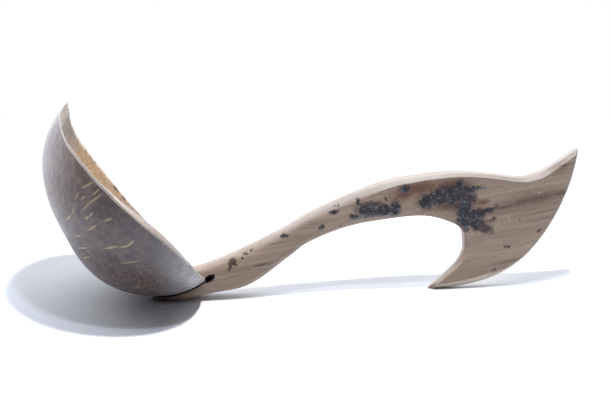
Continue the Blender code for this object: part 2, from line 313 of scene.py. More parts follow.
# Pale fibres on the near side: where each starts and ends, in degrees round from the handle and
# up from the pole, and its half width
FIBRES_SEEN = np.array([
    (-115.0, 55.0, -114.0, 62.0, 0.45),
    (-108.0, 58.0, -109.0, 64.0, 0.40),
    (-105.0, 55.0, -106.0, 64.0, 0.45),
    (-103.0, 46.0, -105.0, 55.0, 0.28),
    (-112.0, 46.0, -114.0, 49.0, 0.40),
    (-110.0, 50.0, -110.0, 53.0, 0.40),
    (-105.0, 38.0, -108.0, 41.0, 0.38),
    (-103.0, 29.0, -104.0, 35.0, 0.35),
    (-97.0, 46.0, -98.0, 49.0, 0.50),
    (-98.0, 50.0, -99.0, 53.0, 0.35),
    (-92.0, 58.0, -92.0, 63.0, 0.42),
    (-89.0, 44.0, -91.0, 51.0, 0.38),
    (-84.0, 29.0, -85.0, 35.0, 0.28),
    (-74.0, 50.0, -75.0, 58.0, 0.40),
    (-74.0, 60.0, -74.0, 65.0, 0.40),
    (-74.0, 64.0, -76.0, 69.0, 0.45),
    (-67.0, 26.0, -73.0, 36.0, 0.28),
    (-52.0, 27.0, -62.0, 34.0, 0.32),
    (-62.0, 56.0, -63.0, 66.0, 0.26),
    (-35.0, 56.0, -38.0, 60.0, 0.40),
    (-119.0, 34.0, -122.0, 37.0, 0.28),
    (-69.0, 84.0, -70.0, 87.0, 0.40),
])
# Dark knots in the sawn rim on the far side: degrees round from the handle, and half size
RIM_KNOTS = np.array([
    (135.0, 1.5),
    (124.0, 0.8),
    (113.0, 1.0),
    (108.0, 1.2),
    (103.0, 1.1),
    (83.5, 1.6),
    (76.0, 1.4),
    (65.0, 1.2),
])
KNOT_INSET = 3.3
KNOT_INWARD = 0.8
FIBRE_DEPTH = 1.5
FAR_FIBRE_TURN = 0.5


def carried(rows, places):
    """Rows of values carried along a smooth curve: at each place, counted in rows from the first,
    the cubic that passes through the two rows beside it with the slopes of their neighbours."""
    start = np.clip(np.floor(places).astype(int), 0, len(rows) - 2)
    share = (places - start)[:, None]
    before, first, second, after = (
        rows[np.clip(start + offset, 0, len(rows) - 1)] for offset in (-1, 0, 1, 2)
    )
    bend = 2.0 * before - 5.0 * first + 4.0 * second - after
    turn = 3.0 * (first - second) + after - before
    return first + 0.5 * share * (second - before + share * (bend + share * turn))


def skin(name, points, faces):
    """A smooth mesh object at the origin from points in millimetres and lists of face corners."""
    mesh = bpy.data.meshes.new(name)
    mesh.from_pydata((points * MM).tolist(), [], faces)
    mesh.polygons.foreach_set("use_smooth", np.ones(len(mesh.polygons), dtype=bool))
    mesh.update()
    thing = bpy.data.objects.new(name, mesh)
    scene.collection.objects.link(thing)
    return thing


def grid_faces(rings, size):
    """Corners of the quads between neighbouring rings of a grid that closes round each ring."""
    ring, place = np.meshgrid(np.arange(rings - 1), np.arange(size), indexing="ij")
    after = (place + 1) % size
    quads = np.stack([
        ring * size + place,
        ring * size + after,
        (ring + 1) * size + after,
        (ring + 1) * size + place,
    ], axis=-1)
    return quads.reshape(-1, 4)


shell_axes = np.array([
    (math.cos(SHELL_LEAN), 0.0, -math.sin(SHELL_LEAN)),
    (0.0, 1.0, 0.0),
    (math.sin(SHELL_LEAN), 0.0, math.cos(SHELL_LEAN)),
])
lap = np.array([360.0, 0.0, 0.0])
rim_rows = np.concatenate([RIM_LINE[-3:-1] - lap, RIM_LINE, RIM_LINE[1:3] + lap])
rim_curve = carried(rim_rows, np.linspace(0.0, len(rim_rows) - 1.0, RIM_STEPS))


def facing(turn, climb):
    """Unit direction at an angle of turn round from the handle and of climb up from the pole."""
    wide = np.sin(climb)
    return np.stack([wide * np.cos(turn), wide * np.sin(turn), -np.cos(climb)], axis=-1)


def off_grip(turn):
    """How far a turn is out of the handle's grip: 0 at the handle, rising on a cosine to 1."""
    return 0.5 - 0.5 * np.cos(np.clip(np.abs(turn) / GRIP_REACH, 0.0, 1.0) * np.pi)


def waves(angle, rows):
    """Sine waves added up, from rows of the count in a full turn, the start and the height."""
    return sum(height * np.sin(count * angle + start) for count, start, height in rows)


def on_wall(turn, climb, inset):
    """Point of the shell's wall in the shell's own frame: an ellipse turned about the axis, set in
    from the outside, with three faint ridges that fade out where the handle grips it, and with
    swells that fall off as a bell curve of the angle from their middles."""
    ridge = np.cos(RIDGE_COUNT * turn + RIDGE_START) * np.sin(climb) ** 2
    ridge = SHELL_RIDGE * off_grip(turn) * ridge
    way = facing(turn, climb)
    around, up, spread = np.radians(SHELL_SWELLS[:, :3]).T
    apart = 1.0 - way @ facing(around, up).T
    swell = np.exp(-2.0 * apart / spread ** 2) @ SHELL_SWELLS[:, 3]
    radius = SHELL_RADIUS - inset + ridge
    size = np.stack([radius, radius, SHELL_DEPTH - inset + 0.0 * radius], axis=-1)
    return way * (size + swell[..., None])


def rim_climb(turn, inset, lift, inward):
    """Angle from the pole at which the wall meets the rim, at the rim's outer edge, or at its inner
    edge where inward is 1, from the height read off the rim's curve."""
    degrees = np.degrees(turn)
    height = np.interp(degrees, rim_curve[:, 0], rim_curve[:, 1]) + lift
    height = height - inward * np.interp(degrees, rim_curve[:, 0], rim_curve[:, 2])
    return np.arccos(np.clip(-height / (SHELL_DEPTH - inset), -1.0, 1.0))


def bent(start, corner, end, shares):
    """A corner eased by a parabola from its start to its end, at the given shares of the way."""
    share = shares[:, None]
    return (1 - share) ** 2 * start + 2 * share * (1 - share) * corner + share ** 2 * end


def shell_wall(around, gap, rim_gap, ease, wave):
    """The shell as a closed grid.  Each turn's profile climbs the outside from the pole, crosses
    the rim with both edges eased, and goes down the inside to the pole.  It is thickened by gap on
    the outside and by rim_gap at the rim and inside.
    Returns points, faces, and for each point its turn, its climb, how far it is past the rim, and
    how far below the rim it lies on the outside."""
    turn = np.linspace(-np.pi, np.pi, around, endpoint=False)[:, None]
    lift = rim_gap + wave * off_grip(turn) * waves(turn, RIM_WAVES)
    wall_in = SHELL_WALL + rim_gap
    outer = rim_climb(turn, -gap, lift, 0.0)
    inner = rim_climb(turn, wall_in, lift, 1.0)
    outer_start = outer - ease / SHELL_RADIUS
    inner_start = inner - ease / (SHELL_RADIUS - SHELL_WALL)
    up = np.linspace(0.0, 1.0, UP_OUTSIDE + 1)[1:]
    outside = on_wall(turn + 0.0 * up, outer_start * up, -gap)
    down = np.linspace(1.0, 0.0, DOWN_INSIDE + 1)[:-1]
    inside = on_wall(turn + 0.0 * down, inner_start * down, wall_in)
    edge = on_wall(turn, outer, -gap)
    inner_edge = on_wall(turn, inner, wall_in)
    across = inner_edge - edge
    span = np.linalg.norm(across, axis=-1, keepdims=True)
    eased = across * np.minimum(ease / span, RIM_EASE_MOST)
    flat_start = edge + eased
    flat_end = inner_edge - eased
    shares = np.linspace(0.0, 1.0, BEND_STEPS)
    first_bend = bent(outside[:, -1:], edge, flat_start, shares[1:])
    last_bend = bent(flat_end, inner_edge, inside[:, :1], shares[:-1])
    flat = flat_start + (flat_end - flat_start) * shares[1:-1, None]
    grid = np.concatenate([outside, first_bend, flat, last_bend, inside], axis=1)
    past = np.concatenate([
        np.zeros(outside.shape[1]),
        shares[1:],
        np.ones(flat.shape[1]),
        1.0 + shares[:-1],
        np.full(inside.shape[1], 2.0),
    ])
    steps = grid.shape[1]
    poles = np.concatenate([on_wall(np.zeros(1), np.zeros(1), inset) for inset in (-gap, wall_in)])
    points = np.concatenate([grid.reshape(-1, 3), poles])
    faces = grid_faces(steps, around)
    index = np.arange(around * steps).reshape(around, steps).T.ravel()
    quads = index[faces]
    ring = np.arange(around) * steps
    after = np.roll(ring, -1)
    under = np.stack([np.full(around, around * steps), after, ring], axis=1)
    over = np.stack([np.full(around, around * steps + 1), ring, after], axis=1)
    over[:, 1:] += steps - 1
    faces = quads.tolist() + under.tolist() + over.tolist()
    turns = np.concatenate([np.repeat(turn, steps, axis=1).ravel(), (0.0, 0.0)])
    height = np.clip(-points[:, 2] / SHELL_DEPTH, -1.0, 1.0)
    pasts = np.concatenate([np.tile(past, around), (0.0, 2.0)])
    climbs = np.arccos(height)
    rims = np.concatenate([np.repeat(outer, steps, axis=1).ravel(), (np.pi / 2.0, 0.0)])
    below = np.where(pasts > 0.0, 0.0, (rims - climbs) * SHELL_RADIUS)
    return points @ shell_axes + SHELL_CENTRE, faces, turns, climbs, pasts, below


def tag(thing, name, values):
    """Stores one value for each point, a number or a vector, as a named attribute of the mesh."""
    kind, key = ("FLOAT", "value") if values.ndim == 1 else ("FLOAT_VECTOR", "vector")
    layer = thing.data.attributes.new(name, kind, "POINT")
    layer.data.foreach_set(key, np.ascontiguousarray(values, dtype=np.float32).ravel())


points, faces, turns, climbs, pasts, below = shell_wall(AROUND, 0.0, 0.0, RIM_EASE, RIM_WAVE)
shell = skin("coconut_bowl", points, faces)
tag(shell, "fibre_way", np.stack([np.cos(turns), np.sin(turns), climbs], axis=1))
tag(shell, "past_rim", pasts)
tag(shell, "below_rim", below)


def fibre_marks(fibres):
    """Each fibre as a slender oval on the wall: its middle, the turn that lays its first axis along
    the fibre and its last one out of the wall, and its half length, half width and half depth."""
    angles = np.radians(fibres[:, :4])
    starts = on_wall(angles[:, 0], angles[:, 1], 0.0) @ shell_axes + SHELL_CENTRE
    ends = on_wall(angles[:, 2], angles[:, 3], 0.0) @ shell_axes + SHELL_CENTRE
    outs = facing(angles[:, [0, 2]].mean(axis=1), angles[:, [1, 3]].mean(axis=1)) @ shell_axes
    along = ends - starts
    length = np.linalg.norm(along, axis=1, keepdims=True)
    along = along / length
    across = np.cross(outs, along)
    across = across / np.linalg.norm(across, axis=1, keepdims=True)
    turns = np.stack([along, across, np.cross(along, across)], axis=-1)
    rows = zip((starts + ends) / 2.0, turns, length[:, 0] / 2.0, fibres[:, 4])
    return [
        (middle, Matrix(turn.tolist()).to_euler(), (half, width, FIBRE_DEPTH))
        for middle, turn, half, width in rows
    ]


SHELL_DARK = (0.058, 0.034, 0.033)
SHELL_BROWN = (0.190, 0.124, 0.110)
SHELL_TAN = (0.250, 0.175, 0.125)
SHELL_RUST = (0.215, 0.120, 0.092)
SHELL_SHEEN_GREY = (0.135, 0.124, 0.134)
SHELL_UMBER_LIT = (0.370, 0.250, 0.215)
SHELL_PALE = (0.60, 0.46, 0.26)
SHELL_CUT = (0.59, 0.485, 0.41)
SHELL_CUT_GREY = (0.40, 0.35, 0.32)
SHELL_RIM_HIGHLIGHT = (0.86, 0.75, 0.69)
SHELL_BLOOM_SHEEN = (0.47, 0.46, 0.485)
SHELL_INSIDE = (0.74, 0.51, 0.305)
SHELL_INSIDE_GREY = (0.60, 0.52, 0.45)
SHELL_INSIDE_PINK = (0.39, 0.30, 0.215)
SHELL_PORE = (0.10, 0.062, 0.042)
SHELL_IOR = 1.58
# Clouds of each kind: scale, detail and roughness
CLOUDS = (75.0, 3.0)
BLOTCHES = (260.0, 3.0, 0.6)
SPECKS = (900.0, 2.0, 0.7)
THREADS = ((42.0, 42.0, 3.2), 4.0, 0.6)
DASHES = ((34.0, 34.0, 9.0), 2.0, 0.5)
SCRATCHES = ((90.0, 90.0, 9.0), 3.0, 0.65)
CLOUD_SHARE = 0.30
BLOTCH_SHARE = 0.45
SPECK_SHARE = 0.25
FLECK_SHARE = 0.55
SHELL_ROUGH = 0.29
THREAD_ROUGH = 0.12
DRY_ROUGH = 0.30
SPECK_RELIEF = 0.25
THREAD_RELIEF = 0.6
STREAK_RELIEF = -0.5
# How each tone fades: between which two values, and from what share to what share
UMBER_BLOTCHES = (0.36, 0.62, 0.6, 1.0)
UMBER_FRONT = (-0.60, 0.05, 0.75, 0.0)
SHEEN_GREY_ALONG = (-0.105, -0.070, 0.0, 0.7)
BLOOM_SHEEN_BLOTCHES = (0.30, 0.60, 0.5, 1.0)
BLOOM_SHEEN_ALONG = (-0.080, -0.056)
LOW_HEIGHT = (0.016, 0.027, 1.0, 0.0)
LOW_FRONT = (-0.080, -0.066, 1.0, 0.25)
RUST_SPECKS = (0.48, 0.60, 0.0, 0.8)
PIT_SPECKS = (0.38, 0.50, 0.85, 0.0)
STREAK_EDGE = (0.75, 1.6, 0.92, 0.0)
FLECK_DASHES = (0.64, 0.74)
FLECK_BLOTCHES = (0.45, 0.6)
FLECK_SPECKS = (0.58, 0.68)
INSIDE_EDGE = (1.3, 1.7)
KNOT_EDGE = (0.8, 1.3, 0.9, 0.0)
OFF_LIP = (-0.90, -0.62, 0.25, 1.0)
RIM_HIGHLIGHT_PALE = (0.05, 0.50, 0.0, 0.85)
RIM_HIGHLIGHT_WIDE = (-0.32, 0.10, 1.3, 0.1)
RIM_HIGHLIGHT_EDGE = (0.35, 0.75, 1.0, 0.0)
DRY_EDGE = (0.3, 0.9)


def noise(tree, vector, scale, detail, roughness=0.55, distortion=0.0):
    """A cloudy value from 0 to 1, stretched where the scale has a number for each axis."""
    if isinstance(scale, tuple):
        vector = add(tree, "ShaderNodeMapping", {"Vector": vector, "Scale": scale}).outputs[0]
        scale = 1.0
    values = {
        "Vector": vector,
        "Scale": scale,
        "Detail": detail,
        "Roughness": roughness,
        "Distortion": distortion,
    }
    return add(tree, "ShaderNodeTexNoise", values).outputs[0]


def nudged(tree, value, cloud, amount):
    """The value moved up or down by a cloudy value's distance from its middle, times the amount."""
    return plus(tree, value, sum_of(tree, "SUBTRACT", cloud, 0.5), amount)


def nearest_mark(tree, place, marks):
    """How far each point is from the nearest of some oval marks, counted in half sizes of the mark.
    A mark is its middle in millimetres, its turn, and its three half sizes in millimetres."""
    nearest = None
    for middle, turn, half in marks:
        middle = Vector(middle) * MM
        values = {"Vector": place, "Center": middle, "Rotation": turn}
        settings = {"rotation_type": "EULER_XYZ", "invert": True}
        local = add(tree, "ShaderNodeVectorRotate", values, **settings).outputs[0]
        shrink = Vector([1.0 / (side * MM) for side in half])
        local = vector_sum(tree, "MULTIPLY_ADD", local, shrink, -middle * shrink)
        away = vector_sum(tree, "LENGTH", local)
        nearest = away if nearest is None else sum_of(tree, "MINIMUM", nearest, away)
    return nearest


material, tree, shader, spot = bare_material("polished_coconut_shell")
shell.data.materials.append(material)
way = add(tree, "ShaderNodeAttribute", attribute_name="fibre_way").outputs["Vector"]
past = add(tree, "ShaderNodeAttribute", attribute_name="past_rim").outputs["Fac"]
below = add(tree, "ShaderNodeAttribute", attribute_name="below_rim").outputs["Fac"]
parted = split(tree, spot)
along, across, height = parted["X"], parted["Y"], parted["Z"]
away = vector_sum(tree, "SUBTRACT", spot, Vector(SHELL_CENTRE) * MM)
toward = vector_sum(tree, "DOT_PRODUCT", away, Vector(shell_axes[0]) / (SHELL_RADIUS * MM))
clouds = noise(tree, spot, *CLOUDS)
threads = noise(tree, way, *THREADS)
specks = noise(tree, spot, *SPECKS)
blotches = noise(tree, spot, *BLOTCHES)
low = faded(tree, step_up(tree, height, *LOW_HEIGHT), along, LOW_FRONT)
mixed = plus(tree, product(tree, clouds, CLOUD_SHARE), blotches, BLOTCH_SHARE)
mixed = plus(tree, mixed, specks, SPECK_SHARE)
colour = layered(tree, SHELL_DARK, (
    (mixed, (0.41, 0.58), SHELL_BROWN),
    (threads, (0.52, 0.74, 0.0, 0.22), SHELL_TAN),
))
# Lighter umber blotches on the lip side: partly the shell's tone, partly painted light from the
# left
umber_and_left_light = faded(tree, step_up(tree, blotches, *UMBER_BLOTCHES), toward, UMBER_FRONT)
colour = between(tree, umber_and_left_light, colour, SHELL_UMBER_LIT)
# Painted sheen: the part towards the handle turns lavender-grey, a reflection of the bright table
colour = between(tree, step_up(tree, along, *SHEEN_GREY_ALONG), colour, SHELL_SHEEN_GREY)
# Pale lavender blotches near the handle: partly a bloom on the shell, partly painted sheen
bloom_and_sheen = faded(tree, step_up(tree, blotches, *BLOOM_SHEEN_BLOTCHES), along, BLOOM_SHEEN_ALONG)
colour = between(tree, bloom_and_sheen, colour, SHELL_BLOOM_SHEEN)
colour = between(tree, faded(tree, low, specks, RUST_SPECKS), colour, SHELL_RUST)
colour = between(tree, faded(tree, low, specks, PIT_SPECKS), colour, SHELL_DARK)

# Fibres of the near side, and on the far side the same ones mirrored and swung round the axis
swung = {
    "Vector": vector_sum(tree, "MULTIPLY", spot, (1.0, -1.0, 1.0)),
    "Center": Vector(SHELL_CENTRE) * MM,
    "Axis": shell_axes[2],
    "Angle": FAR_FIBRE_TURN,
}
swung = add(tree, "ShaderNodeVectorRotate", swung).outputs[0]
side = {0: sum_of(tree, "GREATER_THAN", across, 0.0), 4: spot, 5: swung}
strewn = add(tree, "ShaderNodeMix", side, data_type="VECTOR").outputs[1]
streak = nudged(tree, nearest_mark(tree, strewn, fibre_marks(FIBRES_SEEN)), specks, 1.7)
streak = step_up(tree, streak, *STREAK_EDGE)
colour = between(tree, streak, colour, SHELL_PALE)
dashes = noise(tree, way, *DASHES)
flecks = faded(tree, step_up(tree, dashes, *FLECK_DASHES), blotches, FLECK_BLOTCHES)
flecks = sum_of(tree, "MAXIMUM", flecks, faded(tree, low, specks, FLECK_SPECKS))
colour = between(tree, product(tree, flecks, FLECK_SHARE), colour, SHELL_PALE)

# The inside is scraped and dry, and greyer towards the lip
scratch = noise(tree, way, *SCRATCHES)
patchy = nudged(tree, toward, blotches, 0.5)
inside = layered(tree, SHELL_INSIDE_GREY, (
    (patchy, (-0.60, -0.28), SHELL_INSIDE),
    (toward, (-0.20, 0.55), SHELL_INSIDE_PINK),
    (scratch, (0.46, 0.66, 0.0, 0.45), SHELL_CUT),
    (specks, (0.34, 0.47, 0.55, 0.0), SHELL_PORE),
    (blotches, (0.60, 0.70, 0.0, 0.55), SHELL_PORE),
))

# The sawn rim is bare shell with a painted highlight along its outer edge, and dark knots on the
# far side
cut = layered(tree, SHELL_INSIDE_GREY, (
    (toward, (-0.88, -0.68), SHELL_CUT),
    (toward, (0.0, 0.6), SHELL_CUT_GREY),
    (across, (0.004, 0.020, 0.0, 0.85), inside),
    (specks, (0.34, 0.47, 0.45, 0.0), SHELL_PORE),
    (blotches, (0.58, 0.66, 0.0, 0.35), SHELL_PORE),
))
off_lip = step_up(tree, toward, *OFF_LIP)
# Painted highlight: a pale strip just below the rim's outer edge
cut = between(tree, faded(tree, off_lip, below, RIM_HIGHLIGHT_PALE), cut, SHELL_RIM_HIGHLIGHT)
knot_turns = np.radians(RIM_KNOTS[:, 0])
knots = on_wall(knot_turns, rim_climb(knot_turns, KNOT_INSET, 0.0, KNOT_INWARD), KNOT_INSET)
knots = zip(knots @ shell_axes + SHELL_CENTRE, RIM_KNOTS[:, 1])
knots = [(place, (0.0, 0.0, 0.0), (half, half, half)) for place, half in knots]
knots = step_up(tree, nudged(tree, nearest_mark(tree, spot, knots), specks, 1.2), *KNOT_EDGE)
cut = between(tree, knots, cut, SHELL_PORE)
inside = between(tree, knots, inside, SHELL_PORE)
wide = faded(tree, off_lip, toward, RIM_HIGHLIGHT_WIDE)
edge_highlight = nudged(tree, sum_of(tree, "SUBTRACT", below, wide), blotches, 0.7)
colour = between(tree, step_up(tree, edge_highlight, *RIM_HIGHLIGHT_EDGE), colour, cut)
worn = nudged(tree, past, blotches, 0.5)
colour = between(tree, step_up(tree, worn, *INSIDE_EDGE), colour, inside)
rough = plus(tree, SHELL_ROUGH, threads, THREAD_ROUGH)
rough = plus(tree, rough, step_up(tree, past, *DRY_EDGE), DRY_ROUGH)
relief = plus(tree, product(tree, specks, SPECK_RELIEF), threads, THREAD_RELIEF)
relief = plus(tree, relief, streak, STREAK_RELIEF)
bump = {"Strength": 0.35, "Distance": 0.0004, "Height": relief}
bump = add(tree, "ShaderNodeBump", bump).outputs[0]
plug(tree, shader, {"Base Color": colour, "Roughness": rough, "Normal": bump, "IOR": SHELL_IOR})
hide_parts("coconut_shell_bowl")
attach(shell, "root")


# Handle: one piece of hardwood, carved to a swan-necked stem with a fish's tail.  Its square back
# and flat tail are left crisp, the neck is rounded, and a sawn slot takes the shell's rim.
JOINT = -50.9
SLOT_GAP = 0.9
RIM_GAP = 0.15
SLOT_STEPS = 160
SLOT_EASE = 0.05
# Each carved section: reach from the joint, underside height, lean and depth up to the back, half
# thickness below and above, edge width, how far the section bows outwards, and how flat its edges
# are cut, from 0 for round to 1 for bevelled
SECTIONS = np.array([
    (-24.0, -0.6, 7.0, 9.6, 5.5, 5.5, 2.0, 0.0, 0.0),
    (-11.0, -0.6, 3.0, 13.2, 5.5, 5.5, 2.4, 0.0, 0.0),
    (4.0, 2.2, -2.0, 13.2, 5.5, 5.5, 3.2, 0.0, 0.0),
    (21.0, 5.3, -6.0, 15.2, 5.5, 5.5, 4.6, 0.0, 0.0),
    (38.5, 17.2, -3.5, 12.5, 5.5, 5.5, 4.4, 0.0, 0.0),
    (48.0, 23.8, -1.0, 12.4, 5.5, 5.5, 4.0, 0.0, 0.0),
    (66.0, 30.2, 0.0, 14.1, 5.6, 5.6, 3.6, 0.0, 0.5),
    (84.5, 33.4, 0.0, 16.6, 6.0, 6.0, 2.1, 0.0, 0.9),
    (100.0, 34.2, 4.5, 18.4, 6.0, 6.0, 1.6, 0.0, 1.0),
    (111.5, 31.1, 7.5, 21.9, 5.5, 5.5, 1.5, 0.0, 1.0),
    (117.8, 27.0, 14.8, 24.5, 5.0, 5.0, 1.4, 1.5, 1.0),
    (118.9, 20.5, 24.0, 29.4, 4.5, 4.8, 1.5, 3.8, 1.0),
    (118.5, 16.4, 31.0, 33.8, 4.2, 4.7, 1.8, 6.6, 1.0),
    (114.6, 10.8, 43.1, 42.7, 3.6, 4.5, 2.2, 11.8, 1.0),
    (101.5, -0.6, 70.3, 62.8, 2.6, 4.2, 1.4, 20.0, 1.0),
])
RINGS = 20
END_RINGS = 26
SIDE_STEPS = 80
CORNER_STEPS = 6
FACE_STEPS = 5
BOW_SKEW = 0.055
TAIL_EASE = 2.2
TONGUE_EASE = 5.0
HOOK_BEVEL = 3.7
HOOK_EDGE = 0.6
HOOK_SHARE = 0.34
HOOK_FADE = 0.7
EDGE_MOST = 0.48
EDGE_OF_HALF = 0.9
CROWN = 0.12
TOOL_MARK = 0.07
TOOL_WAVES = (2.9, 4.1, 2.3, 7.0)
TOOL_BEND = 1.3
CRISP_ANGLE = 38.0


def half_outline():
    """Half a section's outline, from the middle of its underside round the near side to the middle
    of its back, as numbers for each point: how far out it is on the half thickness, how much of the
    edge width it has gained, and its depth as shares of the edge width and of the whole depth.  The
    second and third come twice, for an edge rounded by an arc and for one cut flat."""
    bend = np.linspace(0.0, 1.0, CORNER_STEPS + 1)
    arc_out, arc_up = np.sin(bend * np.pi / 2.0), 1.0 - np.cos(bend * np.pi / 2.0)
    face = np.linspace(0.0, 1.0, FACE_STEPS + 1)[:-1]
    side = np.linspace(0.0, 1.0, SIDE_STEPS + 1)[1:-1]
    one, none = np.ones_like, np.zeros_like
    out = np.concatenate([face, one(bend), one(side), one(bend), face[::-1]])
    by_depth = np.concatenate([none(face), none(bend), side, one(bend), one(face)])
    full, by_edge = [], []
    for gained, risen in ((arc_out, arc_up), (bend, bend)):
        full.append(np.concatenate([none(face), gained, one(side), gained[::-1], none(face)]))
        by_edge.append(np.concatenate([
            none(face), risen, 1.0 - 2.0 * side, -risen[::-1], none(face),
        ]))
    return out, full, by_edge, by_depth


def carved_handle():
    """The handle's blank as a closed grid of rings over its sections, thinning to an eased outer
    edge on the tail and to a bevel on the hook, with soles flat on the table.  The sides are a
    little crowned, with tool marks from two bent waves multiplied.
    Returns points and faces."""
    last = len(SECTIONS) - 1.0
    fine = last - 0.5 * (1.0 - np.linspace(0.0, 1.0, END_RINGS)[1:]) ** 2.0
    places = np.concatenate([np.arange(0.0, last - 0.5 + 1e-6, 1.0 / RINGS), fine])
    rows = carried(SECTIONS, places)
    reach, height, lean, depth, below, over, edge, bow, cut = (rows[:, [i]] for i in range(9))
    out, (round_full, flat_full), (round_edge, flat_edge), by_depth = half_outline()
    full = round_full + cut * (flat_full - round_full)
    by_edge = round_edge + cut * (flat_edge - round_edge)
    length = np.hypot(lean, depth)
    edge = np.minimum(edge, EDGE_MOST * length)
    share = (by_edge * edge + by_depth * length) / length
    outward = np.stack([depth, -lean], axis=-1) / length[..., None]
    bulge = 4.0 * bow * share * (1.0 - share) * (1.0 + BOW_SKEW * np.sin(2.0 * np.pi * share))
    plane = np.stack([JOINT + reach + lean * share, height + depth * share], axis=-1)
    plane = plane + outward * bulge[..., None]
    to_end = np.linalg.norm(plane - plane[-1:], axis=-1)
    half = below + (over - below) * share
    ease = np.clip(TAIL_EASE - to_end, 0.0, TAIL_EASE)
    half = half - TAIL_EASE + np.sqrt(TAIL_EASE ** 2 - ease ** 2)
    on_hook = np.clip(1.0 - share / HOOK_SHARE, 0.0, 1.0) ** HOOK_FADE
    bevel = HOOK_EDGE + (half - HOOK_EDGE) * np.clip(to_end / HOOK_BEVEL, 0.0, 1.0)
    half = half + (np.minimum(bevel, half) - half) * on_hook
    from_tip = np.linalg.norm(plane - plane[:1], axis=-1)
    ease = np.clip(TONGUE_EASE - from_tip, 0.0, TONGUE_EASE)
    half = half - TONGUE_EASE + np.sqrt(TONGUE_EASE ** 2 - ease ** 2)
    edge = np.minimum(edge, EDGE_OF_HALF * half)
    crown = CROWN * np.sin(np.pi * np.clip(share, 0.0, 1.0)) * full
    wide = out * (half - edge * (1.0 - full) + crown)
    x, z = plane[..., 0], plane[..., 1]
    run, run_bend, rise, rise_bend = TOOL_WAVES
    marks = np.sin(x / run + np.sin(z / run_bend))
    marks = marks * np.sin(z / rise + TOOL_BEND * np.sin(x / rise_bend))
    wide = wide + TOOL_MARK * marks * full * out
    z = np.maximum(z, 0.0)
    near = np.stack([x, -wide, z], axis=-1)
    far = np.stack([x, wide, z], axis=-1)[:, -2:0:-1]
    grid = np.concatenate([near, far], axis=1)
    rings, size = grid.shape[:2]
    half_size = near.shape[1]
    step = np.arange(half_size - 1)
    mirror = (size - np.arange(half_size)) % size
    cap = np.stack([step, step + 1, mirror[step + 1], mirror[step]], axis=1)
    start_cap = [tuple(dict.fromkeys(row)) for row in cap.tolist()]
    end_cap = [tuple((rings - 1) * size + i for i in row[::-1]) for row in start_cap]
    faces = [row[::-1] for row in grid_faces(rings, size).tolist()]
    return grid.reshape(-1, 3), faces + start_cap + end_cap


def finished(thing, sharp):
    """Applies the piece's modifiers to its mesh, and keeps edges sharper than the angle crisp."""
    shape = thing.evaluated_get(bpy.context.evaluated_depsgraph_get())
    mesh = bpy.data.meshes.new_from_object(shape)
    thing.modifiers.clear()
    thing.data = mesh
    mesh.polygons.foreach_set("use_smooth", np.ones(len(mesh.polygons), dtype=bool))
    mesh.set_sharp_from_angle(angle=math.radians(sharp))
    mesh.update()


points, faces = carved_handle()
handle = skin("fishtail_handle", points, faces)
points, faces, *_ = shell_wall(SLOT_STEPS, SLOT_GAP, RIM_GAP, SLOT_EASE, 0.0)
slot = skin("slot_saw", points, faces)
# The torn hole at the slot's root: a ragged round tube that runs through from side to side
HOLE_PLACE = (-48.9, 9.4)
HOLE_RADIUS = (2.2, 1.3)
HOLE_TURN = math.radians(30.0)
HOLE_REACH = 8.0
HOLE_SIDES = 48
HOLE_RINGS = 17
HOLE_PINCH = 0.75
PINCH_REACH = 2.0
HOLE_WAVES = (
    (3.0, 0.5, 0.16),
    (7.0, 0.0, 0.15),
    (13.0, 0.0, 0.12),
)
angle = np.linspace(0.0, 2.0 * np.pi, HOLE_SIDES, endpoint=False)
ragged = 1.0 + waves(angle, HOLE_WAVES)
across = HOLE_RADIUS[0] * ragged * np.cos(angle)
rise = HOLE_RADIUS[1] * ragged * np.sin(angle)
through = np.linspace(-HOLE_REACH, HOLE_REACH, HOLE_RINGS)[:, None]
flare = 1.0 - HOLE_PINCH * np.exp(-(through / PINCH_REACH) ** 2)
hole_x = HOLE_PLACE[0] + flare * (across * math.cos(HOLE_TURN) - rise * math.sin(HOLE_TURN))
hole_z = HOLE_PLACE[1] + flare * (across * math.sin(HOLE_TURN) + rise * math.cos(HOLE_TURN))
points = np.stack([hole_x, through + 0.0 * hole_x, hole_z], axis=-1).reshape(-1, 3)
ring = np.arange(HOLE_SIDES)
caps = [ring.tolist(), (ring[::-1] + HOLE_SIDES * (HOLE_RINGS - 1)).tolist()]
sides = [row[::-1] for row in grid_faces(HOLE_RINGS, HOLE_SIDES).tolist()]
hole = skin("root_hole", points, sides + caps)
for cutter in (slot, hole):
    saw = handle.modifiers.new(cutter.name, "BOOLEAN")
    saw.operation = "DIFFERENCE"
    saw.solver = "EXACT"
    saw.object = cutter
bpy.context.view_layer.update()
finished(handle, CRISP_ANGLE)
for cutter in (slot, hole):
    bpy.data.objects.remove(cutter, do_unlink=True)

